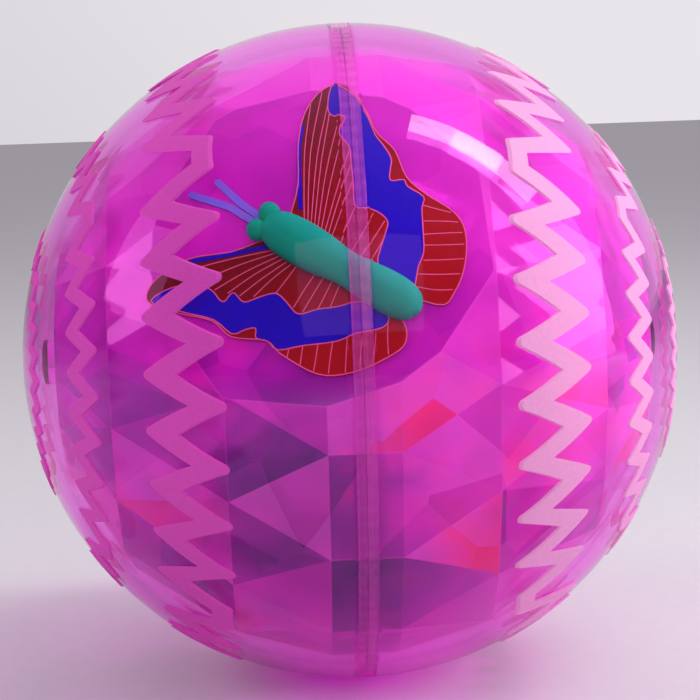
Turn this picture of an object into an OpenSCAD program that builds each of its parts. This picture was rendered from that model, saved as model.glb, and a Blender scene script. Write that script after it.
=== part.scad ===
// Clear bouncy ball: two welded shells with frosted zigzag bands, a tinted faceted core inside them,
// a film butterfly between shell and core, and a bounce-operated flasher in the core.
// X runs across the seam, +Z is up and the front of the ball faces -Y. The origin is the ball's centre.

/* [Shell] */
// Outer diameter of the ball
ball_d = 100; // [96:1:120]
// Wall of the clear shell
shell_wall = 2.2; // [1.8:0.1:2.6]
// How far the shell's rim stands in from its wall at the seam
rim_step = 0.8; // [0.4:0.1:1.2]
// Width of the weld strip round the seam
weld_w = 2.8; // [2:0.2:4]
// Depth of the weld strip
weld_t = 0.6; // [0.4:0.1:0.8]
// Width of each drawn line along the weld strip
weld_line_w = 0.3; // [0.2:0.1:0.4]
// Length of the lap between the two shells
lap_l = 1.2; // [0.8:0.2:2]
// Radial gap between pieces that are set into one another
clearance = 0.1; // [0.05:0.05:0.2]

/* [Zigzag bands] */
// Height of the frosted bands over the shell
band_t = 0.25; // [0.15:0.05:0.4]
// Angle between two teeth round the ball
tooth_angle = 10.6; // [9.6:0.2:10.8]
// Teeth in each quarter of a band
quarter_teeth = 8; // [6:1:8]
// Where the left bands' first quarter starts above the front
left_start = 42; // [0:0.5:90]
// Where the right bands' first quarter starts above the front
right_start = 40; // [0:0.5:90]
// Width of the stroke of the band next to the seam
wide_stroke = 2.7; // [2.2:0.1:3]
// Width of the stroke of the middle band
middle_stroke = 2; // [1.4:0.1:2.2]
// Width of the stroke of the band next to the pole
narrow_stroke = 1.5; // [1:0.1:1.6]

/* [Core] */
// Gap between the shell's rim and the corners of the core
core_gap = 0.2; // [0.2:0.1:1.2]
// Facets round the core
facets = 18; // [16:2:24]
// Turn of the facets up from the front
facet_turn = 1; // [0:0.5:10]
// Latitude of the core's first ring of corners, at the edge of its belt
belt_lat = 6; // [4:0.5:8]
// Latitude of the core's second ring of corners
inner_lat = 23; // [20:0.5:26]
// Latitude of the core's third ring of corners
outer_lat = 46.5; // [42:0.5:50]
// Latitude of the flat cap at each pole of the core
cap_lat = 65; // [60:1:68]
// Wall of the core behind the butterfly's table
table_wall = 1.4; // [1:0.1:2]
// Diameter of the pins that hold the core at its poles
pole_pin_d = 4; // [3:0.5:6]
// Length of the pole pins
pole_pin_l = 2.4; // [1.6:0.2:3]
// Wall of the sockets for the pole pins
pole_boss_wall = 1.4; // [1.2:0.2:2.4]

/* [Butterfly] */
// Height of the butterfly's table over the horizon, seen from the centre
table_rise = 29; // [20:1:36]
// Turn of the table to the right of the front
table_turn = -9; // [-12:1:-6]
// Lean of the butterfly's body on its table
body_lean = 32; // [20:1:45]
// Reach of the upper wings from the body
upper_reach = 23.1; // [20:0.1:24]
// Reach of the lower wings from the body
lower_reach = 17.4; // [16:0.1:22]
// Thickness of the wing film
film_t = 0.4; // [0.3:0.1:0.6]
// Least gap between the wing tips and the shell's rim
wing_gap = 0.3; // [0.2:0.1:0.8]
// Diameter of the thickest part of the body
body_d = 6.1; // [5:0.1:6.4]
// Height of the body's axis over the film
body_lift = 1.2; // [0.8:0.1:1.6]
// Diameter of the eyes
eye_d = 3; // [2.4:0.1:3.2]
// Width of the antennae
antenna_w = 1; // [0.6:0.1:1.2]
// Diameter of the peg under the body
peg_d = 2.5; // [2:0.1:3]
// How far the peg stands into the body
peg_l = 2; // [1.4:0.1:2.4]

/* [Flasher] */
// Where the flasher stands, to the right of the seam
flasher_x = -7; // [-8:0.5:-6.5]
// Where the flasher stands, behind the centre
flasher_y = -3; // [-5:0.5:5]
// Least gap between the flasher's case and the core
case_gap = 1.9; // [1:0.1:3]
// Diameter of the flasher's case
case_d = 26; // [25:0.5:27]
// Wall of the case
case_wall = 1.2; // [1:0.1:1.4]
// Height of the case's cup
cup_h = 8; // [7:0.5:10]
// Diameter of the cup's spigot
spigot_d = 6; // [5:0.5:7]
// Length of the spigot
spigot_l = 4.5; // [3:0.5:5]
// Wall of the seat round the spigot
seat_wall = 2.4; // [1.6:0.2:2.4]
// Height of the ledge under the circuit board
ledge_h = 1.5; // [1.2:0.1:2.5]
// Thickness of the circuit board
board_t = 1.2; // [0.8:0.2:1.6]
// Diameter of a button cell
cell_d = 7.9; // [6.8:0.1:8]
// Thickness of a button cell
cell_t = 3.6; // [2.6:0.1:4]
// Thickness of the cell clip's strip
clip_t = 0.4; // [0.3:0.1:0.6]
// Width of the cell clip's strip
clip_w = 3; // [2:0.5:4]
// Diameter of the lamps
lamp_d = 3; // [2.6:0.1:3.2]
// Height of a lamp's straight side
lamp_h = 3.6; // [3:0.2:5]
// Diameter of the switch's coil, at the middle of its wire
coil_d = 3; // [2.6:0.1:3.2]
// Length of the switch's coil
coil_l = 7; // [6.8:0.2:8]
// Turns of the switch's coil
coil_turns = 8; // [6:1:8]
// Diameter of the coil's wire
wire_d = 0.35; // [0.3:0.05:0.4]
// Diameter of the switch's centre post
post_d = 0.8; // [0.6:0.1:1]

/* [Hidden] */
$fn = 96;

LEFT = -1;
RIGHT = 1;
shell_r = ball_d / 2;
shell_in = shell_r - shell_wall;
far = ball_d;

// The shell's rim at the seam, and the lap and weld strip in it
rim_w = weld_w / 2 + 0.4;
rim_r = shell_in - rim_step;
weld_r = shell_r - weld_t;
lap_in = (rim_r + weld_r) / 2 - 0.4;
lap_out = lap_in + 0.8;
weld_line_depth = 0.15;
weld_lines = [-0.28 * weld_w, 0, 0.28 * weld_w];

// Bands: latitudes of each side's bands, and how far the teeth reach either way
// The left bands are printed a little nearer the seam than the right ones
left_lats = [28, 49.5, 68];
right_lats = [31, 52.2, 69.5];
tooth_reach = [4.5, 2.4, 1.3];
// How round the outer corners are, as a share of half the stroke
corner_round = 0.5;
strokes = [wide_stroke, middle_stroke, narrow_stroke];

// The core's corners alternate: belt and outer rings in step, inner ring and cap half a facet later
core_r = rim_r - core_gap;
facet = 360 / facets;
cap_x = core_r * sin(cap_lat);
core_lip_t = 0.7;
core_lip_l = 1.2;

// Wing outlines: along the body from the table's centre towards the tail, and the share of the reach
upper_wing = [[-3, 0.03], [-6.8, 0.32], [-10.2, 0.54], [-12, 0.73], [-11.8, 0.9], [-9.8, 0.985], [-7.4, 0.97],
  [-4.5, 0.91], [-1.6, 0.83], [1.8, 0.79], [5.4, 0.68], [9, 0.645], [13.6, 0.63], [16.5, 0.56], [19, 0.39],
  [20, 0.21], [18.8, 0.09], [8, 0.03]];
lower_wing = [[-4, 0.04], [-9, 0.32], [-13.4, 0.54], [-15.4, 0.79], [-15.3, 0.95], [-13.8, 1], [-10, 0.95],
  [-5.5, 0.87], [-2, 0.9], [2.3, 0.79], [5, 0.82], [10.8, 0.81], [14.5, 0.67], [17.4, 0.43], [18.3, 0.25],
  [15.6, 0.1], [8, 0.04]];
// The body's profile: along the body, and the share of its thickest radius
body_profile = [[-7, 0], [-6.8, 0.45], [-5.8, 0.76], [-4, 0.95], [-1, 1], [2, 0.95], [5, 0.81], [7, 0.78],
  [9, 0.84], [12, 0.93], [15, 0.88], [17, 0.6], [18, 0]];
// Antennae: from the head outwards, along the body and across it
upper_antenna = [[-7.5, 0.6], [-12, 1], [-16.5, 2]];
lower_antenna = [[-7.5, -0.4], [-13, -0.2], [-18.5, -1.4]];
body_shift = 1.2;
eye_at = -7.3;
peg_at = 2;

// The table lies as deep as the wing tips need to stay clear of the shell
upper_points = [for (p = upper_wing) [p[0], p[1] * upper_reach]];
lower_points = [for (p = lower_wing) [p[0], -p[1] * lower_reach]];
reach = max([for (p = concat(upper_points, lower_points)) norm(p - [0, body_shift])]);
table_d = sqrt(pow(rim_r - wing_gap, 2) - reach * reach) - film_t;
cavity_r = table_d - table_wall;

// The flasher stands as low as its case fits in the core; heights in it are from the top of its seat
case_r = case_d / 2;
seat_drop = sqrt(pow(cavity_r - case_gap, 2) - pow(norm([flasher_x, flasher_y]) + case_r, 2));
floor_t = 1.5;
board_z = floor_t + ledge_h;
deck_z = board_z + board_t;
stack_h = 3 * cell_t;
lid_lip_h = 1.5;
lid_room = 0.6;
lid_top = deck_z + stack_h + clip_t + lid_room + case_wall;
// Places of the pieces on the circuit board, from the inside of the lid's lip
room_r = case_r - 2 * case_wall - clearance;
cell_margin = 2.05;
lamp_flange = 0.4;
lamp_flange_h = 0.8;
lamp_margin = 0.8;
lamp_spread = 42;
chip_r = 2;
chip_margin = 0.2;
coil_room = 1;
cells_at = [cell_margin + cell_d / 2 - room_r, 0];
lamp_ring = room_r - lamp_d / 2 - lamp_flange - lamp_margin;
red_at = lamp_ring * [cos(lamp_spread), sin(lamp_spread)];
green_at = [lamp_ring, 0];
blue_at = lamp_ring * [cos(lamp_spread), -sin(lamp_spread)];
chip_at = (room_r - chip_r - chip_margin) * [cos(85), -sin(85)];
switch_at = (room_r - coil_d / 2 - coil_room) * [cos(80), sin(80)];
coil_foot = 0.4;
post_over = 0.8;

// A closed smooth curve through points
function loop_curve(p, n = 4) = [for (i = [0 : len(p) - 1], s = [0 : n - 1])
  let (m = len(p), a = p[(i + m - 1) % m], b = p[i], c = p[(i + 1) % m], d = p[(i + 2) % m])
  blend(a, b, c, d, s / n)];
// An open smooth curve through points
function open_curve(p, n = 4) = concat([for (i = [0 : len(p) - 2], s = [0 : n - 1])
  let (a = p[max(i - 1, 0)], b = p[i], c = p[i + 1], d = p[min(i + 2, len(p) - 1)])
  blend(a, b, c, d, s / n)], [p[len(p) - 1]]);
function blend(a, b, c, d, t) = 0.5 * (2 * b + (c - a) * t + (2 * a - 5 * b + 4 * c - d) * t * t
  + (3 * b - a - 3 * c + d) * t * t * t);

// Turns a profile about the X axis: across is the radius, up is the place along X
module turned() rotate([0, 90, 0]) rotate_extrude() children();
module half_disc(r) intersection() {
  circle(r);
  translate([0, -far]) square(2 * far);
}
// A block of the profile, between two radii and two places along X
module block(r_in, r_out, a, b) translate([r_in, a]) square([r_out - r_in, b - a]);

// Shell: the profile of the right half, and the left one mirrored
module shell_profile() difference() {
  union() {
    difference() {
      intersection() {
        half_disc(shell_r);
        block(0, far, 0, far);
      }
      difference() {
        half_disc(shell_in);
        block(rim_r, far, -rim_w, rim_w);
      }
    }
    intersection() {
      half_disc(shell_r - shell_wall / 2);
      block(0, pole_pin_d / 2 + clearance + pole_boss_wall, cap_x + clearance, far);
    }
  }
  block(weld_r, far, -1, weld_w / 2);
  block(0, pole_pin_d / 2 + clearance, 0, cap_x + pole_pin_l + 2 * clearance);
}
module shell_left() color([0.95, 0.75, 0.9, 0.4]) mirror([1, 0, 0]) turned() union() {
  shell_profile();
  block(lap_in, lap_out, -lap_l, rim_w / 2);
}
module shell_right() color([0.95, 0.75, 0.9, 0.4]) turned() difference() {
  shell_profile();
  block(lap_in - clearance, lap_out + clearance, -1, lap_l + clearance);
}
module seam_weld() color([0.9, 0.55, 0.8, 0.6]) turned($fn = 300) difference() {
  intersection() {
    half_disc(shell_r);
    block(weld_r, far, -weld_w / 2, weld_w / 2);
  }
  for (x = weld_lines) block(shell_r - weld_line_depth, far, x - weld_line_w / 2, x + weld_line_w / 2);
}

// Zigzag bands: the stroke's centre line on the ball, as arc along the band and latitude in degrees
function zigzag_line(lat, reach, start) = [for (q = [0 : 3], i = [0 : 2 * quarter_teeth])
  [(90 * q + 90 - start + i * tooth_angle / 2) * cos(lat), lat + (i % 2 == 0 ? -reach : reach)]];
// One edge of the stroke: rounded outside a bend, sharp inside it
function stroke_edge(line, turn, half_w, side) = [for (i = [0 : len(line) - 1], p = let (
  m = len(line),
  before = line[(i + m - 1) % m] - [i == 0 ? turn : 0, 0],
  after = line[(i + 1) % m] + [i == m - 1 ? turn : 0, 0],
  u = (line[i] - before) / norm(line[i] - before),
  v = (after - line[i]) / norm(after - line[i]),
  un = side * [-u[1], u[0]],
  vn = side * [-v[1], v[0]],
  mid = (un + vn) / norm(un + vn),
  outside = side * (u[0] * v[1] - u[1] * v[0]) < 0,
  tip = mid / (mid * un))
  outside ? [for (d = [un, un + mid, mid, mid + vn, vn]) tip + corner_round * (d / norm(d) - tip)] : [tip])
  line[i] + half_w * p];
// Flattened along X: the angle from the front up, turned back from the arc, and the distance from the X axis
function along_x(edge, lat) = [for (p = edge) let (a = -p[0] / cos(lat)) shell_r * cos(p[1]) * [cos(a), sin(a)]];
module zigzag(side, ring) {
  lat = side == LEFT ? left_lats[ring] : right_lats[ring];
  line = zigzag_line(lat, tooth_reach[ring], side == LEFT ? left_start : right_start);
  half_w = strokes[ring] / 2 / (shell_r * PI / 180);
  turn = 360 * cos(lat);
  color([0.97, 0.75, 0.88]) mirror([side == RIGHT ? 1 : 0, 0, 0]) rotate([90, 0, -90]) intersection() {
    linear_extrude(far / 2) difference() {
      polygon(along_x(stroke_edge(line, turn, half_w, -1), lat));
      polygon(along_x(stroke_edge(line, turn, half_w, 1), lat));
    }
    difference() {
      sphere(shell_r + band_t);
      sphere(shell_r);
    }
  }
}

// Core: one half as a cut stone, then hollowed, with the table cut across both halves
function core_ring(x, r, phase) = [for (k = [0 : facets - 1]) let (a = phase + k * facet)
  [x, -r * cos(a), r * sin(a)]];
function lat_ring(lat, phase) = core_ring(core_r * sin(lat), core_r * cos(lat), phase);
// Triangles between two rings of corners, with the second half a facet after or before the first
function zig_faces(low, high, ahead) = [for (k = [0 : facets - 1]) let (n = (k + 1) % facets)
  each ahead ? [[low + k, low + n, high + k], [low + n, high + n, high + k]]
             : [[low + k, high + n, high + k], [low + k, low + n, high + n]]];
module cut_stone(side) mirror([side == LEFT ? 1 : 0, 0, 0]) {
  n = facets;
  late = facet_turn + facet / 2;
  points = concat(core_ring(0, core_r * cos(belt_lat), late), lat_ring(belt_lat, late),
    lat_ring(inner_lat, facet_turn), lat_ring(outer_lat, late), lat_ring(cap_lat, facet_turn));
  belt = [for (k = [0 : n - 1]) let (m = (k + 1) % n) [k, m, n + m, n + k]];
  base = [for (k = [n - 1 : -1 : 0]) k];
  cap = [for (k = [0 : n - 1]) 4 * n + k];
  polyhedron(points, concat([base], belt, zig_faces(n, 2 * n, false), zig_faces(2 * n, 3 * n, true),
    zig_faces(3 * n, 4 * n, false), [cap]));
}
module on_table() rotate([90 - table_rise, 0, table_turn]) translate([0, 0, table_d]) children();
module on_body_axis() on_table() rotate([0, 0, -body_lean]) translate([0, -body_shift, 0]) children();
module core_half(side) {
  difference() {
    union() {
      cut_stone(side);
      mirror([side == LEFT ? 1 : 0, 0, 0]) turned() block(0, pole_pin_d / 2, cap_x - 1.5, cap_x + pole_pin_l);
    }
    turned() union() {
      half_disc(cavity_r);
      if (side == RIGHT) block(0, cavity_r + core_lip_t + clearance, -1, core_lip_l + clearance);
    }
    on_table() translate([-far / 2, -far / 2, 0]) cube(far);
  }
}
module core_left() color([0.8, 0.15, 0.65, 0.5]) {
  core_half(LEFT);
  turned() block(cavity_r, cavity_r + core_lip_t, -core_lip_l, core_lip_l);
  on_body_axis() translate([peg_at, 0, -table_wall / 2]) cylinder(h = table_wall / 2 + film_t + peg_l, d = peg_d);
  flasher_seat();
}
module core_right() color([0.8, 0.15, 0.65, 0.5]) core_half(RIGHT);

// Butterfly, from the table's face up
module wing_film(points) on_body_axis() linear_extrude(film_t) difference() {
  polygon(loop_curve(points));
  translate([peg_at, 0]) circle(d = peg_d + 2 * clearance);
}
module wing_film_upper() color([0.5, 0.06, 0.06]) wing_film(upper_points);
module wing_film_lower() color([0.5, 0.06, 0.06]) wing_film(lower_points);
module butterfly_body() color([0.15, 0.68, 0.62]) on_body_axis() difference() {
  union() {
    translate([0, 0, film_t + body_lift]) rotate([0, 90, 0]) rotate_extrude()
      polygon([for (p = open_curve(body_profile)) [max(p[1], 0) * body_d / 2, p[0]]]);
    for (s = [LEFT, RIGHT])
      translate([eye_at, s * eye_d * 0.48, film_t + body_lift]) sphere(d = eye_d);
  }
  translate([-far / 2, -far / 2, film_t - far]) cube(far);
  translate([peg_at, 0, 0]) cylinder(h = film_t + peg_l + clearance, d = peg_d + 2 * clearance);
}
// A strip's outline: one side out along the line, round the tip, and back along the other side
function along(p, i) = p[min(i + 1, len(p) - 1)] - p[max(i - 1, 0)];
function across(p, i) = [-along(p, i)[1], along(p, i)[0]] / norm(along(p, i));
function strip_outline(p, w) = let (last = len(p) - 1, tip = across(p, last), ahead = [tip[1], -tip[0]])
  concat([for (i = [0 : last]) p[i] + w / 2 * across(p, i)],
    [for (t = [30 : 30 : 150]) p[last] + w / 2 * (cos(t) * tip + sin(t) * ahead)],
    [for (i = [last : -1 : 0]) p[i] - w / 2 * across(p, i)]);
module antenna(line) color([0.4, 0.4, 0.7]) on_body_axis()
  linear_extrude(film_t) polygon(strip_outline(line, antenna_w));
module antenna_upper() antenna(upper_antenna);
module antenna_lower() antenna(lower_antenna);

// Flasher
module at_seat() translate([flasher_x, flasher_y, -seat_drop]) children();
module at_deck(place) at_seat() translate([place[0], place[1], deck_z]) children();
module ring(h, r_in, r_out) difference() {
  cylinder(h = h, r = r_out);
  translate([0, 0, -1]) cylinder(h = h + 2, r = r_in);
}
module flasher_seat() {
  seat_l = cavity_r + table_wall / 2 - seat_drop;
  at_seat() translate([0, 0, -seat_l]) difference() {
    cylinder(h = seat_l, r = spigot_d / 2 + clearance + seat_wall);
    translate([0, 0, seat_l - spigot_l - clearance]) cylinder(h = far, r = spigot_d / 2 + clearance);
  }
}
module flasher_cup() color([0.85, 0.85, 0.9, 0.5]) at_seat() {
  translate([0, 0, -spigot_l]) cylinder(h = spigot_l + floor_t / 2, d = spigot_d);
  cylinder(h = floor_t, r = case_r);
  ring(cup_h, case_r - case_wall, case_r);
  ring(board_z, case_r - 2 * case_wall, case_r);
}
module flasher_lid() color([0.85, 0.85, 0.9, 0.5]) at_seat() translate([0, 0, cup_h]) {
  lid_h = lid_top - cup_h;
  lip_r = case_r - case_wall - clearance;
  difference() {
    rotate_extrude() intersection() {
      union() {
        square([case_r, lid_h - 2 * case_wall]);
        square([case_r - 2 * case_wall, lid_h]);
        translate([case_r - 2 * case_wall, lid_h - 2 * case_wall]) circle(2 * case_wall);
      }
      square([case_r, lid_h]);
    }
    translate([0, 0, -1]) cylinder(h = lid_h - case_wall + 1, r = lip_r - case_wall);
  }
  translate([0, 0, -lid_lip_h]) ring(lid_lip_h + case_wall, lip_r - case_wall, lip_r);
}
module circuit_board() color([0.1, 0.35, 0.2]) at_seat() translate([0, 0, board_z])
  cylinder(h = board_t, r = case_r - case_wall - clearance);
module chip_blob() color([0.08, 0.08, 0.09]) at_deck(chip_at) intersection() {
  translate([0, 0, -chip_r / 2]) sphere(chip_r * 1.12);
  cylinder(h = chip_r, r = chip_r);
}
module button_cell(i) color([0.75, 0.76, 0.78]) at_deck(cells_at) translate([0, 0, i * cell_t]) {
  cylinder(h = cell_t * 0.86, d = cell_d);
  translate([0, 0, cell_t * 0.86]) cylinder(h = cell_t * 0.14, d = cell_d * 0.78);
}
module cell_clip() color([0.7, 0.66, 0.5]) at_deck(cells_at) {
  leg = cell_d / 2 + clearance;
  for (s = [LEFT, RIGHT])
    translate([-clip_w / 2, s > 0 ? leg : -leg - clip_t, 0]) cube([clip_w, clip_t, stack_h + clip_t]);
  translate([-clip_w / 2, -leg, stack_h]) cube([clip_w, 2 * leg, clip_t]);
}
module lamp(place, c) color(c) at_deck(place) {
  cylinder(h = lamp_flange_h, d = lamp_d + 2 * lamp_flange);
  cylinder(h = lamp_h, d = lamp_d);
  translate([0, 0, lamp_h]) sphere(d = lamp_d);
}
module switch_post() color([0.8, 0.75, 0.5]) at_deck(switch_at)
  cylinder(h = coil_foot + coil_l + post_over, d = post_d);
// The coil is one round wire swept along a helix
coil_steps = 8;
coil_sides = 6;
rise_per_step = (coil_l - wire_d) / (coil_turns * coil_steps);
coil_path = [for (i = [0 : coil_turns * coil_steps]) let (a = i * 360 / coil_steps)
  [coil_d / 2 * cos(a), coil_d / 2 * sin(a), wire_d / 2 + i * rise_per_step]];
coil_gap = min([for (i = [0 : len(coil_path) - 1 - coil_steps])
  norm(coil_path[i + coil_steps] - coil_path[i])]) - wire_d;
echo(coil_gap = coil_gap);
module switch_coil() color([0.8, 0.8, 0.82]) at_deck(switch_at) translate([0, 0, coil_foot]) {
  rings = len(coil_path);
  points = [for (i = [0 : rings - 1], s = [0 : coil_sides - 1])
    let (a = i * 360 / coil_steps, b = s * 360 / coil_sides)
    coil_path[i] + wire_d / 2 * (cos(b) * [cos(a), sin(a), 0] + sin(b) * [0, 0, 1])];
  sides = [for (i = [0 : rings - 2], s = [0 : coil_sides - 1]) let (n = (s + 1) % coil_sides, o = i * coil_sides)
    each [[o + s, o + coil_sides + s, o + coil_sides + n], [o + s, o + coil_sides + n, o + n]]];
  start = [for (s = [0 : coil_sides - 1]) s];
  end = [for (s = [coil_sides - 1 : -1 : 0]) (rings - 1) * coil_sides + s];
  polyhedron(points, concat(sides, [start], [end]));
}

shell_left();
shell_right();
seam_weld();
zigzag(LEFT, 0);  // zigzag_left_wide
zigzag(LEFT, 1);  // zigzag_left_middle
zigzag(LEFT, 2);  // zigzag_left_narrow
zigzag(RIGHT, 0);  // zigzag_right_wide
zigzag(RIGHT, 1);  // zigzag_right_middle
zigzag(RIGHT, 2);  // zigzag_right_narrow
core_left();
core_right();
butterfly_body();
wing_film_upper();
wing_film_lower();
antenna_upper();
antenna_lower();
flasher_cup();
flasher_lid();
circuit_board();
chip_blob();
cell_clip();
button_cell(0);  // button_cell_low
button_cell(1);  // button_cell_mid
button_cell(2);  // button_cell_top
lamp(red_at, [0.9, 0.1, 0.15, 0.8]);  // lamp_red
lamp(green_at, [0.1, 0.8, 0.3, 0.8]);  // lamp_green
lamp(blue_at, [0.15, 0.25, 0.9, 0.8]);  // lamp_blue
switch_post();
switch_coil();
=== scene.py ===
"""Clear bouncy ball with a faceted core, a film butterfly and a flasher, dressed over its CAD frame."""
import math

import bmesh
import bpy
from mathutils import Matrix, Vector


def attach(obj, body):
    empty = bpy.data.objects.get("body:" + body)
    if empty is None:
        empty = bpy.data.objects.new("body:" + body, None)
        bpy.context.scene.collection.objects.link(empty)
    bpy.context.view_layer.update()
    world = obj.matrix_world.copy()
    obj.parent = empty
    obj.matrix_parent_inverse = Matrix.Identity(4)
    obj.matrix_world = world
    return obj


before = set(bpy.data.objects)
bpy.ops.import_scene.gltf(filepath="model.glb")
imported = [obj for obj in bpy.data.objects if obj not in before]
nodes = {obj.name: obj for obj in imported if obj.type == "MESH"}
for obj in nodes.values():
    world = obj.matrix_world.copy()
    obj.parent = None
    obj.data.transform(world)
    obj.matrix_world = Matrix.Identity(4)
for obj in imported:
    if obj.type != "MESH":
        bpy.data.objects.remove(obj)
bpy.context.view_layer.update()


# Flasher case: a cup and a lid moulded in smoky polystyrene, pressed together by the lid's lip.
# The cup's spigot stands in a seat inside the core, and nothing opens it once the ball is welded.
CASE_TINT = "#7a3c92"
POLYSTYRENE_IOR = 1.59
CASE_ROUGHNESS = 0.12
FLOW_MM = 9
FLOW_DULLING = 0.05


def linear(colour):
    """An sRGB hex colour as the linear colour that a socket takes."""
    parts = [int(colour[i:i + 2], 16) / 255 for i in (1, 3, 5)]
    return tuple(p / 12.92 if p <= 0.04045 else ((p + 0.055) / 1.055) ** 2.4 for p in parts) + (1.0,)


def add(tree, kind, inputs=None, **settings):
    """Adds a node: settings are its own properties, and an input is a value or another node's output."""
    made = tree.nodes.new(kind)
    for name, value in settings.items():
        setattr(made, name, value)
    for name, value in (inputs or {}).items():
        if isinstance(value, bpy.types.NodeSocket):
            tree.links.new(value, made.inputs[name])
        else:
            made.inputs[name].default_value = value
    return made


def new_finish(name):
    """A material with an empty node tree."""
    made = bpy.data.materials.new(name)
    made.use_nodes = True
    made.node_tree.nodes.clear()
    return made


def wear(finish, *names):
    """Gives a finish to CAD pieces."""
    for name in names:
        nodes[name].data.materials.clear()
        nodes[name].data.materials.append(finish)


def clear_plastic(name, colour, ior, roughness):
    """Clear moulded plastic, a little duller in swirls where the melt flowed.

    Light from the lamps passes through it with its tint, as it does in thin mouldings.
    """
    made = new_finish(name)
    tree = made.node_tree
    place = add(tree, "ShaderNodeTexCoord")
    flow = add(tree, "ShaderNodeTexNoise", {
        "Vector": place.outputs["Object"], "Scale": 1000 / FLOW_MM, "Detail": 1.0})
    polish = add(tree, "ShaderNodeMapRange", {
        "Value": flow.outputs[0], "From Min": 0.35, "From Max": 0.75,
        "To Min": roughness, "To Max": roughness + FLOW_DULLING})
    body = add(tree, "ShaderNodeBsdfPrincipled", {
        "Base Color": linear(colour), "Roughness": polish.outputs[0], "IOR": ior, "Transmission Weight": 1.0})
    passed = add(tree, "ShaderNodeBsdfTransparent", {"Color": linear(colour)})
    path = add(tree, "ShaderNodeLightPath")
    mixed = add(tree, "ShaderNodeMixShader", {
        0: path.outputs["Is Shadow Ray"], 1: body.outputs[0], 2: passed.outputs[0]})
    add(tree, "ShaderNodeOutputMaterial", {"Surface": mixed.outputs[0]})
    return made


# The smoky tint keeps the parts inside dim, so that the case shows through the core as a dark mass.
case_finish = clear_plastic("smoky_polystyrene_case", CASE_TINT, POLYSTYRENE_IOR, CASE_ROUGHNESS)
wear(case_finish, "flasher_cup", "flasher_lid")

# Circuit board: a disc of glass-fibre laminate under green solder mask, resting on the cup's ledge.
# Copper tracks show under the mask as slightly paler lines.
TRACK_MM = 2.4
solder_mask = new_finish("green_solder_mask")
tree = solder_mask.node_tree
place = add(tree, "ShaderNodeTexCoord")
tracks = add(tree, "ShaderNodeTexBrick", {
    "Vector": place.outputs["Object"], "Scale": 1000 / TRACK_MM, "Mortar Size": 0.03,
    "Color1": linear("#1a5a34"), "Color2": linear("#175030"), "Mortar": linear("#2f7a4c")})
body = add(tree, "ShaderNodeBsdfPrincipled", {"Base Color": tracks.outputs["Color"], "Roughness": 0.35})
add(tree, "ShaderNodeOutputMaterial", {"Surface": body.outputs[0]})
wear(solder_mask, "circuit_board")

# Chip: a bare die on the board, covered by a drop of black potting epoxy.
# The epoxy sets with a soft sheen and a slightly uneven skin.
SKIN_MM = 0.6
potting = new_finish("black_potting_epoxy")
tree = potting.node_tree
place = add(tree, "ShaderNodeTexCoord")
skin = add(tree, "ShaderNodeTexNoise", {
    "Vector": place.outputs["Object"], "Scale": 1000 / SKIN_MM, "Detail": 3.0})
bump = add(tree, "ShaderNodeBump", {"Height": skin.outputs[0], "Strength": 0.2, "Distance": 0.0001})
body = add(tree, "ShaderNodeBsdfPrincipled", {
    "Base Color": linear("#16161a"), "Roughness": 0.38, "Normal": bump.outputs[0]})
add(tree, "ShaderNodeOutputMaterial", {"Surface": body.outputs[0]})
wear(potting, "chip_blob")

# Metal parts: drawn and nickel-plated cell cans in a stack, a bent strip of plated bronze that springs over
# them, a turned brass post, and a coil wound from spring steel wire round it. All but the cells are soldered.
# Handling and forming leave each with patches of brighter and duller metal.
PATCH_MM = 0.8
for name, colour, rough, wearers in (
        ("nickel_plated_can", "#c6c6cb", 0.28, ("button_cell_low", "button_cell_mid", "button_cell_top")),
        ("plated_bronze_strip", "#b9ad92", 0.35, ("cell_clip",)),
        ("brass_pin", "#c9a85c", 0.3, ("switch_post",)),
        ("spring_steel_wire", "#c9c9cd", 0.3, ("switch_coil",))):
    metal = new_finish(name)
    tree = metal.node_tree
    place = add(tree, "ShaderNodeTexCoord")
    patches = add(tree, "ShaderNodeTexNoise", {
        "Vector": place.outputs["Object"], "Scale": 1000 / PATCH_MM, "Detail": 4.0})
    dulled = add(tree, "ShaderNodeMapRange", {
        "Value": patches.outputs[0], "To Min": rough - 0.08, "To Max": rough + 0.12})
    body = add(tree, "ShaderNodeBsdfPrincipled", {
        "Base Color": linear(colour), "Metallic": 1.0, "Roughness": dulled.outputs[0]})
    add(tree, "ShaderNodeOutputMaterial", {"Surface": body.outputs[0]})
    wear(metal, *wearers)

# Lamps: 3 mm light-emitting diodes cast in tinted clear epoxy, standing on the board by their leads.
# The red one is caught alight, and the casting's haze makes it glow all through. The green and blue ones are
# not lit, yet are given a faint painted glow.
EPOXY_IOR = 1.54
HAZE_MM = 1.5
for name, colour, glow in (
        ("lamp_red", "#f01c2c", 3.0), ("lamp_green", "#2cc860", 0.3), ("lamp_blue", "#2c46e8", 0.3)):
    epoxy = new_finish("tinted_epoxy_" + name)
    tree = epoxy.node_tree
    place = add(tree, "ShaderNodeTexCoord")
    haze = add(tree, "ShaderNodeTexNoise", {"Vector": place.outputs["Object"], "Scale": 1000 / HAZE_MM})
    polish = add(tree, "ShaderNodeMapRange", {"Value": haze.outputs[0], "To Min": 0.06, "To Max": 0.2})
    body = add(tree, "ShaderNodeBsdfPrincipled", {
        "Base Color": linear(colour), "Roughness": polish.outputs[0], "IOR": EPOXY_IOR,
        "Transmission Weight": 0.4, "Emission Color": linear(colour), "Emission Strength": glow})
    add(tree, "ShaderNodeOutputMaterial", {"Surface": body.outputs[0]})
    wear(epoxy, name)
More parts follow.
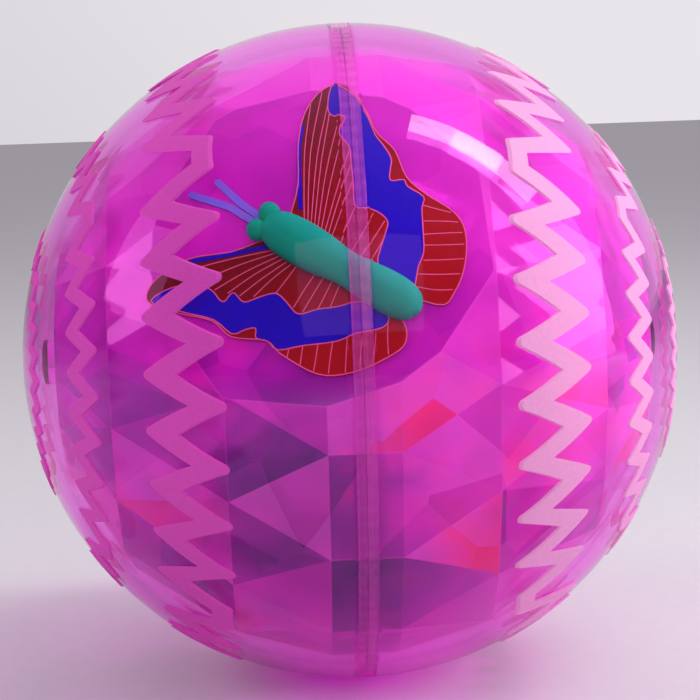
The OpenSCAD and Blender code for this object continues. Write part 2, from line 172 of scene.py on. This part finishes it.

# Core: two hollow halves moulded in tinted polystyrene with flat facets, hung on pins in the shell's poles.
# It is cloudy, so each facet keeps a tone of its own, and a polish flashes by facets. Hot pink facets among
# the tones are painted glints of the red lamp, and the pale edges are painted highlights.
FACETS_PER_UNIT = 6.3
FACET_DRAW = (3.2, 1.6, 0.9)
CORE_PATCH_MM = 13
EDGE_MM = 0.4
EDGE_HIGHLIGHT_TINT = "#f6a4ea"
SHADOW_TINT = "#e69ee6"
FLASHER_SHADOW_SPOT = (-0.006, -0.04, -0.022)
# The last, hot pink tone is a painted glint of the red lamp's light in the facets.
TONES_AND_RED_GLINTS = ((0.0, "#560880"), (0.23, "#9814aa"), (0.42, "#cc34c8"), (0.55, "#e04cd2"), (0.78, "#f694ea"),
         (1.0, "#ff2a84"))
core = new_finish("cloudy_magenta_polystyrene")
tree = core.node_tree
place = add(tree, "ShaderNodeTexCoord")
parts = add(tree, "ShaderNodeSeparateXYZ", {0: place.outputs["Object"]})

# A facet's own tone comes from the way it faces, and patches across it stand for the facets behind.
turned = add(tree, "ShaderNodeVectorMath", {0: place.outputs["Normal"], 1: FACET_DRAW}, operation="ADD")
facing_tone = add(tree, "ShaderNodeTexNoise", {
    "Vector": turned.outputs[0], "Scale": FACETS_PER_UNIT, "Detail": 0.0})
whole = add(tree, "ShaderNodeMapRange", {"Value": facing_tone.outputs[0], "From Min": 0.34, "From Max": 0.66})
patch_tone = add(tree, "ShaderNodeTexVoronoi", {
    "Vector": place.outputs["Object"], "Scale": 1000 / CORE_PATCH_MM})
broken = add(tree, "ShaderNodeSeparateColor", {0: patch_tone.outputs["Color"]})
drawn = add(tree, "ShaderNodeMix", {"Factor": 0.3, "A": whole.outputs[0], "B": broken.outputs[0]})

# The tones are evener towards the top. A painted shadow makes them darker in front of the flasher, and
# painted light makes them lighter on the right.
depth = add(tree, "ShaderNodeMapRange", {
    "Value": parts.outputs["Z"], "From Min": -0.012, "From Max": 0.02, "To Min": 1.0, "To Max": 0.35})
evened = add(tree, "ShaderNodeMix", {"Factor": depth.outputs[0], "A": 0.54, "B": drawn.outputs["Result"]})
# Painted shadow: the tones darken close to the flasher.
away = add(tree, "ShaderNodeVectorMath", {
    0: place.outputs["Object"], 1: FLASHER_SHADOW_SPOT}, operation="DISTANCE")
shade = add(tree, "ShaderNodeMapRange", {
    "Value": away.outputs["Value"], "From Min": 0.006, "From Max": 0.024, "To Min": -0.34, "To Max": 0.0})
# Painted light: the tones grow lighter towards the right, most of all low down.
painted_light_right = add(tree, "ShaderNodeMapRange", {
    "Value": parts.outputs["X"], "From Min": -0.03, "From Max": 0.03, "To Min": -0.02, "To Max": 0.2})
shaded = add(tree, "ShaderNodeMath", {0: evened.outputs["Result"], 1: shade.outputs[0]}, operation="ADD")
tone = add(tree, "ShaderNodeMath", {
    0: painted_light_right.outputs[0], 1: depth.outputs[0], 2: shaded.outputs[0]}, operation="MULTIPLY_ADD")
ramp = add(tree, "ShaderNodeValToRGB", {0: tone.outputs[0]})
stops = ramp.color_ramp.elements
for at, colour in TONES_AND_RED_GLINTS:
    stop = stops[0] if at == 0 else stops[-1] if at == 1 else stops.new(at)
    stop.color = linear(colour)

# Moulded edges are never sharp: they round off and catch the light, and the paler colour mixed in along them
# is a painted highlight.
edges = add(tree, "ShaderNodeBevel", {"Radius": EDGE_MM / 1000}, samples=4)
flat = add(tree, "ShaderNodeNewGeometry")
turn_off = add(tree, "ShaderNodeVectorMath", {
    0: edges.outputs[0], 1: flat.outputs["Normal"]}, operation="DOT_PRODUCT")
painted_edge_highlight = add(tree, "ShaderNodeMapRange", {
    "Value": turn_off.outputs["Value"], "From Min": 0.985, "From Max": 0.998, "To Min": 0.45, "To Max": 0.0})
tint = add(tree, "ShaderNodeMix", {
    "Factor": painted_edge_highlight.outputs[0], "A": ramp.outputs[0], "B": linear(EDGE_HIGHLIGHT_TINT)}, data_type="RGBA")
body = add(tree, "ShaderNodeBsdfPrincipled", {
    "Base Color": tint.outputs["Result"], "Roughness": 0.08, "IOR": 1.3, "Transmission Weight": 0.55,
    "Coat Weight": 0.5, "Coat Roughness": 0.03, "Normal": edges.outputs[0]})
passed = add(tree, "ShaderNodeBsdfTransparent", {"Color": linear(SHADOW_TINT)})
path = add(tree, "ShaderNodeLightPath")
mixed = add(tree, "ShaderNodeMixShader", {
    0: path.outputs["Is Shadow Ray"], 1: body.outputs[0], 2: passed.outputs[0]})
add(tree, "ShaderNodeOutputMaterial", {"Surface": mixed.outputs[0]})
wear(core, "core_left", "core_right")

# Wings: two pieces of plastic film with printed ink, clamped flat between the butterfly's body and the core.
# The red ground is printed on the whole film, and the blue bands, pale veins and pale outlines over it.
# Places on the film are in millimetres from the wings' root, along the body towards its tail and across it.
RISE = math.radians(29)
TURN = math.radians(-9)
LEAN = math.radians(32)
UPPER_REACH = 23.1
LOWER_REACH = 17.4
ROOT_MM = 1.2
INK_MM = 0.02
BAND_HEIGHT = 0.01
LEADING_HEIGHT = 0.03
VEIN_HEIGHT = 0.005
OUTLINE_HEIGHT = 0.035
LEADING_W = 0.6
VEIN_W = 0.13
OUTLINE_W = 0.16
UPPER_EDGE = [(a, share * UPPER_REACH) for a, share in (
    (-3, 0.03), (-6.8, 0.32), (-10.2, 0.54), (-12, 0.73), (-11.8, 0.9), (-9.8, 0.985), (-7.4, 0.97),
    (-4.5, 0.91), (-1.6, 0.83), (1.8, 0.79), (5.4, 0.68), (9, 0.645), (13.6, 0.63), (16.5, 0.56), (19, 0.39),
    (20, 0.21), (18.8, 0.09), (8, 0.03))]
LOWER_EDGE = [(a, -share * LOWER_REACH) for a, share in (
    (-4, 0.04), (-9, 0.32), (-13.4, 0.54), (-15.4, 0.79), (-15.3, 0.95), (-13.8, 1), (-10, 0.95),
    (-5.5, 0.87), (-2, 0.9), (2.3, 0.79), (5, 0.82), (10.8, 0.81), (14.5, 0.67), (17.4, 0.43), (18.3, 0.25),
    (15.6, 0.1), (8, 0.04))]
UPPER_BAND = [
    (-10.8, 22.2), (-10.8, 21.2), (-9.7, 19), (-8.5, 18.3), (-6.8, 19), (-6.5, 17.5), (-5.7, 16.3),
    (-3.8, 15.5), (-2.4, 13.8), (-0.3, 11.2), (1.7, 8.6), (3.4, 9.2), (5.3, 9.4), (6.9, 8.8), (7.6, 6.9),
    (9.5, 2.5), (14.9, 2), (13.9, 5.5), (13.4, 7.6), (11.7, 10.1), (9.7, 12.9), (9, 14.4), (6.3, 14.6),
    (5.3, 15.2), (3.8, 14.2), (2.8, 15.7), (2.4, 16.6), (1.5, 17.4), (-0.4, 18.3), (-1.8, 18.9), (-4, 20.5),
    (-5.7, 21.4), (-7.4, 22.3), (-9.3, 22.4)]
LOWER_BAND = [
    (-14.3, -17), (-12.8, -13.8), (-9.6, -11.8), (-7.8, -11.6), (-6.5, -12.1), (-5.7, -12), (-5.6, -10.8),
    (-5.2, -10.3), (-3.9, -10.7), (-3.2, -10.6), (-2.4, -9.6), (-1.3, -8.2), (-0.1, -7.4), (1.9, -7.9),
    (3.4, -8.4), (4.4, -8), (5.7, -6.5), (7.7, -4.9), (10.4, -2.4), (14.2, -2.4), (14.6, -4.2), (12.1, -6.6),
    (10.4, -9), (6.9, -11.8), (4.4, -14), (2.5, -13.7), (0.9, -14.1), (0.1, -13), (-1, -13.9), (-2.2, -15.3),
    (-5.4, -14.9), (-8.9, -15.9), (-11.5, -16.6)]
UPPER_LEADING = ((-4.4, 4.4), (-6.6, 7.4), (-8.6, 10.2), (-10.1, 12.6), (-11.2, 15))
LOWER_LEADING = ((-4.6, -1.9), (-6.6, -3.75), (-8.75, -5.85), (-10.9, -7.75), (-13, -9.6))
UPPER_VEINS = [
    ((-3.2, 3.5), (-8.6, 11.6), (-12, 18.2)), ((-2.6, 3.5), (-8, 12.2), (-11.7, 20.6)),
    ((-2, 3.4), (-6.9, 12.2), (-10.2, 20)), ((-1.4, 3.3), (-5.8, 11.5), (-9, 18.4)),
    ((-0.8, 3.2), (-4.6, 11), (-7.3, 18)), ((-0.2, 3.1), (-3.2, 10), (-5.4, 15.9)),
    ((0.4, 3), (-1.8, 9.4), (-3.6, 15.2)), ((1, 2.9), (-0.8, 8.4), (-2.2, 13.4)),
    ((1.6, 2.8), (0.4, 7.4), (-0.6, 11.4)), ((3.2, 2.6), (2.4, 5.6), (1.8, 8.4)),
    ((5, 2.4), (4.8, 5.8), (4.4, 9)), ((6.4, 2.4), (6.5, 5.6), (6.4, 8.8)),
    ((7.8, 2.3), (7.9, 4.2), (7.7, 6.4)), ((9.5, 13.3), (11.6, 13.8), (13.4, 14.3)),
    ((10.9, 11.4), (13.2, 12.7), (15, 13.6)), ((12, 9.8), (14.4, 11.4), (16.3, 12.6)),
    ((12.9, 8.5), (15.4, 10), (17.4, 11.3)), ((14, 6.6), (16.4, 8.1), (18.5, 9.5)),
    ((14.5, 4.6), (17, 6), (19.2, 7.4)), ((15.2, 2.9), (17.6, 3.8), (19.6, 5))]
LOWER_VEINS = [
    ((-5.1, -2.6), (-9.2, -6), (-12.9, -9.4)), ((-4.4, -2.6), (-8.4, -6.4), (-12, -10.2)),
    ((-3.8, -2.7), (-7, -6.6), (-10, -11)), ((-3.1, -2.8), (-5.6, -6.8), (-7.8, -11.3)),
    ((-2.4, -2.8), (-4.4, -6.6), (-6, -10.8)), ((-1.7, -2.9), (-3.2, -6.6), (-4.4, -10.3)),
    ((-1, -2.9), (-2, -6), (-2.7, -9.4)), ((-0.2, -2.6), (-0.3, -5), (-0.4, -7.4)),
    ((2.6, -1.8), (2.6, -5), (2.8, -8)), ((3.8, -1.8), (4, -5), (4.2, -7.8)),
    ((5, -1.6), (5.4, -4), (5.7, -6.4)), ((6.2, -1.6), (6.6, -3.6), (7, -5.4)),
    ((5.6, -13.2), (5.8, -13.7), (6, -14.2)), ((6.9, -11.8), (7.6, -13.2), (8.1, -14.2)),
    ((8.5, -10.6), (9.4, -12.4), (10.1, -14)), ((10, -9.3), (11, -11.4), (12, -13.3)),
    ((11.4, -7.9), (12.6, -10), (13.8, -12)), ((12.8, -6.4), (14, -8.6), (15.2, -10.6)),
    ((13.9, -4.9), (15.2, -7.2), (16.3, -9.2)), ((14.6, -3), (16, -5.2), (17.3, -7))]
out = Vector((math.sin(TURN) * math.cos(RISE), -math.cos(TURN) * math.cos(RISE), math.sin(RISE)))
side = Vector((math.cos(TURN), math.sin(TURN), 0))
up = out.cross(side)
along = side * math.cos(LEAN) - up * math.sin(LEAN)
across = side * math.sin(LEAN) + up * math.cos(LEAN)
film_top = max(v.co.dot(out) for v in nodes["wing_film_upper"].data.vertices)
wing_root = out * film_top - across * ROOT_MM / 1000


def curve(points, closed=True, steps=4):
    """A smooth line through points."""
    count = len(points)
    last = count if closed else count - 1
    made = []
    for i in range(last):
        near = [points[(i + k) % count if closed else min(max(i + k, 0), count - 1)] for k in (-1, 0, 1, 2)]
        for s in range(steps):
            t = s / steps
            made.append(tuple(0.5 * (2 * b + (c - a) * t + (2 * a - 5 * b + 4 * c - d) * t * t
                                     + (3 * b - a - 3 * c + d) * t ** 3) for a, b, c, d in zip(*near)))
    return made if closed else made + [points[-1]]


def ribbon(points, width, closed=False):
    """A line of ink with a width, as one four-cornered patch for each of its steps."""
    count = len(points)
    sides = []
    for i in range(count):
        a = points[(i - 1) % count if closed else max(i - 1, 0)]
        b = points[(i + 1) % count if closed else min(i + 1, count - 1)]
        run = Vector((b[0] - a[0], b[1] - a[1])).normalized() * width / 2
        x, y = points[i]
        sides.append(((x - run.y, y + run.x), (x + run.y, y - run.x)))
    pairs = [(i, (i + 1) % count) for i in range(count if closed else count - 1)]
    return [(sides[i][0], sides[i][1], sides[j][1], sides[j][0]) for i, j in pairs]


def ink(name, patches, height, finish):
    """Patches of ink at a height over the film, in millimetres along and across the body."""
    mesh = bpy.data.meshes.new(name)
    work = bmesh.new()
    for patch in patches:
        base = wing_root + out * height / 1000
        floor = [work.verts.new(base + (along * a + across * b) / 1000) for a, b in patch]
        roof = [work.verts.new(v.co + out * INK_MM / 1000) for v in floor]
        work.faces.new(roof)
        work.faces.new(floor[::-1])
        for i in range(len(floor)):
            j = (i + 1) % len(floor)
            work.faces.new((floor[i], floor[j], roof[j], roof[i]))
    bmesh.ops.recalc_face_normals(work, faces=work.faces)
    work.to_mesh(mesh)
    work.free()
    piece = bpy.data.objects.new(name, mesh)
    bpy.context.scene.collection.objects.link(piece)
    mesh.materials.append(finish)
    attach(piece, "ball")


# The red ink is browner towards the head, with the fine mottle of a screened ground and hardly any gloss.
RED_MOTTLE_MM = 1.2
red_film = new_finish("red_printed_film")
tree = red_film.node_tree
place = add(tree, "ShaderNodeTexCoord")
offset = add(tree, "ShaderNodeVectorMath", {
    0: place.outputs["Object"], 1: wing_root}, operation="SUBTRACT")
reach = add(tree, "ShaderNodeVectorMath", {0: offset.outputs[0], 1: along * 1000}, operation="DOT_PRODUCT")
share = add(tree, "ShaderNodeMapRange", {
    "Value": reach.outputs["Value"], "From Min": -12.0, "From Max": 16.0})
mottle = add(tree, "ShaderNodeTexNoise", {
    "Vector": place.outputs["Object"], "Scale": 1000 / RED_MOTTLE_MM, "Detail": 2.0})
shade = add(tree, "ShaderNodeMath", {
    0: mottle.outputs[0], 1: 0.4, 2: share.outputs[0]}, operation="MULTIPLY_ADD")
red = add(tree, "ShaderNodeMix", {
    "Factor": shade.outputs[0], "A": linear("#44120a"), "B": linear("#900e0a")}, data_type="RGBA")
body = add(tree, "ShaderNodeBsdfPrincipled", {
    "Base Color": red.outputs["Result"], "Roughness": 0.5, "Specular IOR Level": 0.1})
add(tree, "ShaderNodeOutputMaterial", {"Surface": body.outputs[0]})
wear(red_film, "wing_film_upper", "wing_film_lower")

# The inks over the red lie flat and dull, each with a faint mottle between two near colours.
INK_MOTTLE_MM = 1.5


def flat_ink(name, colour, other):
    """A finish of printed ink."""
    made = new_finish(name)
    tree = made.node_tree
    place = add(tree, "ShaderNodeTexCoord")
    mottle = add(tree, "ShaderNodeTexNoise", {
        "Vector": place.outputs["Object"], "Scale": 1000 / INK_MOTTLE_MM, "Detail": 2.0})
    tone = add(tree, "ShaderNodeMix", {
        "Factor": mottle.outputs[0], "A": linear(colour), "B": linear(other)}, data_type="RGBA")
    body = add(tree, "ShaderNodeBsdfPrincipled", {
        "Base Color": tone.outputs["Result"], "Roughness": 0.5, "Specular IOR Level": 0.1})
    add(tree, "ShaderNodeOutputMaterial", {"Surface": body.outputs[0]})
    return made


blue_ink = flat_ink("blue_printing_ink", "#1400b0", "#12009c")
pale_ink = flat_ink("pale_printing_ink", "#d8868e", "#c8747c")
ink("wing_band_upper", [curve(UPPER_BAND, steps=3)], BAND_HEIGHT, blue_ink)
ink("wing_band_lower", [curve(LOWER_BAND, steps=3)], BAND_HEIGHT, blue_ink)
ink("wing_leading_upper", ribbon(curve(UPPER_LEADING, False), LEADING_W), LEADING_HEIGHT, blue_ink)
ink("wing_leading_lower", ribbon(curve(LOWER_LEADING, False), LEADING_W), LEADING_HEIGHT, blue_ink)
for name, veins in (("wing_veins_upper", UPPER_VEINS), ("wing_veins_lower", LOWER_VEINS)):
    lines = [patch for vein in veins for patch in ribbon(curve(vein, False), VEIN_W)]
    ink(name, lines, VEIN_HEIGHT, pale_ink)
for name, edge, band in (
        ("wing_outline_upper", UPPER_EDGE, UPPER_BAND), ("wing_outline_lower", LOWER_EDGE, LOWER_BAND)):
    lines = ribbon(curve(edge), OUTLINE_W, True) + ribbon(curve(band, steps=3), OUTLINE_W, True)
    ink(name, lines, OUTLINE_HEIGHT, pale_ink)

# Body: moulded in opaque teal vinyl, and pushed on a peg of the core's table over the wings' roots.
# Vinyl from a blasted mould has a soft matte skin. Its grain is drawn coarser than it is, so that it shows.
GRAIN_MM = 0.5
teal = new_finish("teal_vinyl")
tree = teal.node_tree
place = add(tree, "ShaderNodeTexCoord")
grain = add(tree, "ShaderNodeTexNoise", {
    "Vector": place.outputs["Object"], "Scale": 1000 / GRAIN_MM, "Detail": 4.0})
tone = add(tree, "ShaderNodeMix", {
    "Factor": grain.outputs[0], "A": linear("#02d470"), "B": linear("#04de7a")}, data_type="RGBA")
bump = add(tree, "ShaderNodeBump", {"Height": grain.outputs[0], "Strength": 0.15, "Distance": 0.0001})
body = add(tree, "ShaderNodeBsdfPrincipled", {
    "Base Color": tone.outputs["Result"], "Roughness": 0.6, "Specular IOR Level": 0.05,
    "Normal": bump.outputs[0]})
add(tree, "ShaderNodeOutputMaterial", {"Surface": body.outputs[0]})
wear(teal, "butterfly_body")

# Feelers: two narrow strips cut from bluish film, held under the body's head.
# The film's tint is uneven, from blue to a greyer violet.
TINT_MM = 2.0
feeler = new_finish("bluish_film")
tree = feeler.node_tree
place = add(tree, "ShaderNodeTexCoord")
uneven = add(tree, "ShaderNodeTexNoise", {
    "Vector": place.outputs["Object"], "Scale": 1000 / TINT_MM, "Detail": 2.0})
tone = add(tree, "ShaderNodeMix", {
    "Factor": uneven.outputs[0], "A": linear("#4a8cc8"), "B": linear("#7e84c0")}, data_type="RGBA")
body = add(tree, "ShaderNodeBsdfPrincipled", {
    "Base Color": tone.outputs["Result"], "Roughness": 0.4, "Specular IOR Level": 0.15})
add(tree, "ShaderNodeOutputMaterial", {"Surface": body.outputs[0]})
wear(feeler, "antenna_upper", "antenna_lower")

# Shell: two halves moulded in clear acrylic with a breath of pink in it, lapped and welded at the seam.
# Light that runs along the wall near the ball's edge crosses more of it and comes out pinker.
# Its IOR is lower than acrylic's, because the core nearly touches it and the real pair reflects less.
SHELL_IOR = 1.28
SHELL_TINT = "#ff95fa"
TINT_DENSITY = 320.0
shell = clear_plastic("clear_acrylic", "#ffffff", SHELL_IOR, 0.0)
tree = shell.node_tree
pink = add(tree, "ShaderNodeVolumeAbsorption", {"Color": linear(SHELL_TINT), "Density": TINT_DENSITY})
tree.links.new(pink.outputs[0], tree.get_output_node("ALL").inputs["Volume"])
wear(shell, "shell_left", "shell_right")

# Weld: the strip of acrylic that a spinning tool fused along the seam.
# The tool leaves it cloudy, with fine lines that run round the ball.
LINE_MM = 0.35
weld = new_finish("cloudy_weld")
tree = weld.node_tree
place = add(tree, "ShaderNodeTexCoord")
parts = add(tree, "ShaderNodeSeparateXYZ", {0: place.outputs["Object"]})
lines = add(tree, "ShaderNodeTexNoise", {
    "W": parts.outputs["X"], "Scale": 1000 / LINE_MM, "Detail": 2.0}, noise_dimensions="1D")
cloud = add(tree, "ShaderNodeMapRange", {
    "Value": lines.outputs[0], "From Min": 0.3, "From Max": 0.7, "To Min": 0.08, "To Max": 0.28})
body = add(tree, "ShaderNodeBsdfPrincipled", {"Base Color": linear("#d854c0"), "Roughness": 0.4})
clear = add(tree, "ShaderNodeBsdfTransparent", {"Color": linear("#fdf3fb")})
mixed = add(tree, "ShaderNodeMixShader", {0: cloud.outputs[0], 1: clear.outputs[0], 2: body.outputs[0]})
add(tree, "ShaderNodeOutputMaterial", {"Surface": mixed.outputs[0]})
wear(weld, "seam_weld")

# Bands: frosted ink screened on the shell in zigzag rings, thick enough to feel.
# The frost scatters light to a pale sheen and glows a little from behind. The right bands get a paler colour
# and glow as painted light from the right, and the left ones a pinker colour and glow as painted shade: lit
# and shaded copies of one ink. The grit is drawn coarser than it is, so that it shows.
GRIT_MM = 0.4
for name, colour, glow, wearers in (
        ("frosted_ink_shaded_left", "#e85ccc", "#e466d2",
         ("zigzag_left_wide", "zigzag_left_middle", "zigzag_left_narrow")),
        ("frosted_ink_lit_right", "#f0b4de", "#f4b0e4",
         ("zigzag_right_wide", "zigzag_right_middle", "zigzag_right_narrow"))):
    frost = new_finish(name)
    tree = frost.node_tree
    place = add(tree, "ShaderNodeTexCoord")
    grit = add(tree, "ShaderNodeTexNoise", {
        "Vector": place.outputs["Object"], "Scale": 1000 / GRIT_MM, "Detail": 3.0})
    bump = add(tree, "ShaderNodeBump", {"Height": grit.outputs[0], "Strength": 0.2, "Distance": 0.0001})
    face = add(tree, "ShaderNodeBsdfPrincipled", {
        "Base Color": linear(colour), "Roughness": 0.5, "Normal": bump.outputs[0]})
    through = add(tree, "ShaderNodeBsdfTranslucent", {"Color": linear(glow)})
    lit = add(tree, "ShaderNodeMixShader", {0: 0.3, 1: face.outputs[0], 2: through.outputs[0]})
    clear = add(tree, "ShaderNodeBsdfTransparent", {"Color": linear("#ffffff")})
    bare = add(tree, "ShaderNodeMapRange", {"Value": grit.outputs[0], "To Min": 0.1, "To Max": 0.3})
    mixed = add(tree, "ShaderNodeMixShader", {0: bare.outputs[0], 1: lit.outputs[0], 2: clear.outputs[0]})
    add(tree, "ShaderNodeOutputMaterial", {"Surface": mixed.outputs[0]})
    wear(frost, *wearers)

# Floor: a wide sheet of pale card, a hair under the ball so that the two don't meet.
# The card's fibres show as a faint mottle.
FLOOR_HALF = 3.0
FLOOR_Z = -0.0501
FIBRE_MM = 3.0
mesh = bpy.data.meshes.new("floor")
work = bmesh.new()
bmesh.ops.create_grid(work, x_segments=1, y_segments=1, size=FLOOR_HALF)
work.to_mesh(mesh)
work.free()
floor = bpy.data.objects.new("floor", mesh)
floor.location = (0, 0, FLOOR_Z)
bpy.context.scene.collection.objects.link(floor)
card = new_finish("pale_card")
tree = card.node_tree
place = add(tree, "ShaderNodeTexCoord")
fibre = add(tree, "ShaderNodeTexNoise", {
    "Vector": place.outputs["Object"], "Scale": 1000 / FIBRE_MM, "Detail": 4.0})
tone = add(tree, "ShaderNodeMix", {
    "Factor": fibre.outputs[0], "A": linear("#c6c2c8"), "B": linear("#ccc8ce")}, data_type="RGBA")
body = add(tree, "ShaderNodeBsdfPrincipled", {"Base Color": tone.outputs["Result"], "Roughness": 0.8})
add(tree, "ShaderNodeOutputMaterial", {"Surface": body.outputs[0]})
mesh.materials.append(card)

# Light: a pale room, brighter overhead and behind the ball on the right, with soft lamps round the ball.
# Two tall ones high on the right show in the shell as the panes of a window. The others don't show in it.
ROOM_TINT = "#f4f0f6"
BRIGHT_SIDE = (0.5, 0.7, 0.5)
AZIMUTH = math.radians(-2)
ELEVATION = math.radians(8)
world = bpy.data.worlds.new("pale_room")
bpy.context.scene.world = world
world.use_nodes = True
tree = world.node_tree
tree.nodes.clear()
place = add(tree, "ShaderNodeTexCoord")
aim = add(tree, "ShaderNodeVectorMath", {
    0: place.outputs["Generated"], 1: BRIGHT_SIDE}, operation="DOT_PRODUCT")
level = add(tree, "ShaderNodeMapRange", {
    "Value": aim.outputs["Value"], "From Min": 0.0, "From Max": 0.75, "To Min": 0.2, "To Max": 0.9})
room = add(tree, "ShaderNodeBackground", {"Color": linear(ROOM_TINT), "Strength": level.outputs[0]})
add(tree, "ShaderNodeOutputWorld", {"Surface": room.outputs[0]})
towards = Vector((math.sin(AZIMUTH) * math.cos(ELEVATION), -math.cos(AZIMUTH) * math.cos(ELEVATION),
                  math.sin(ELEVATION)))
rightwards = Vector((math.cos(AZIMUTH), math.sin(AZIMUTH), 0))
upwards = rightwards.cross(-towards)


def softbox(name, place, width, height, power, mirrored):
    """A soft lamp aimed at the ball, so far to the right of it, over it and in front of it for the camera."""
    lamp = bpy.data.lights.new(name, "AREA")
    lamp.shape = "RECTANGLE"
    lamp.size = width
    lamp.size_y = height
    lamp.energy = power
    made = bpy.data.objects.new(name, lamp)
    made.location = rightwards * place[0] + upwards * place[1] + towards * place[2]
    made.rotation_euler = made.location.to_track_quat("Z", "Y").to_euler()
    made.visible_glossy = mirrored
    bpy.context.scene.collection.objects.link(made)


softbox("window_near", (0.27, 0.49, 0.07), 0.08, 0.24, 0.7, True)
softbox("window_far", (0.36, 0.43, 0.07), 0.08, 0.24, 0.7, True)
softbox("right", (0.62, 0.12, 0.05), 0.35, 0.5, 3.4, False)
softbox("left", (-0.58, 0.3, 0.1), 0.3, 0.4, 1.6, False)
softbox("front", (0.05, 0.25, 0.62), 0.5, 0.4, 1.2, False)

# Camera: a little over the ball's middle and to the left of the butterfly, leaning as much as the seam does.
# The lens makes the ball fill the frame from 0.3 m.
LENS = 99.64
SENSOR = 36
DISTANCE = 0.3
ROLL = math.radians(2)
camera = bpy.data.objects.new("camera", bpy.data.cameras.new("camera"))
camera.data.lens = LENS
camera.data.sensor_width = SENSOR
camera.data.clip_start = 0.01
camera_right = rightwards * math.cos(ROLL) - upwards * math.sin(ROLL)
camera_up = upwards * math.cos(ROLL) + rightwards * math.sin(ROLL)
camera.matrix_world = Matrix((camera_right, camera_up, towards)).transposed().to_4x4()
camera.location = towards * DISTANCE
bpy.context.scene.collection.objects.link(camera)
bpy.context.scene.camera = camera
bpy.context.scene.view_settings.view_transform = "Standard"

# Light crosses many walls of clear plastic on its way through the ball, so it is followed that far.
WALLS = 32
bpy.context.scene.cycles.max_bounces = WALLS
bpy.context.scene.cycles.transmission_bounces = WALLS
bpy.context.scene.cycles.transparent_max_bounces = WALLS
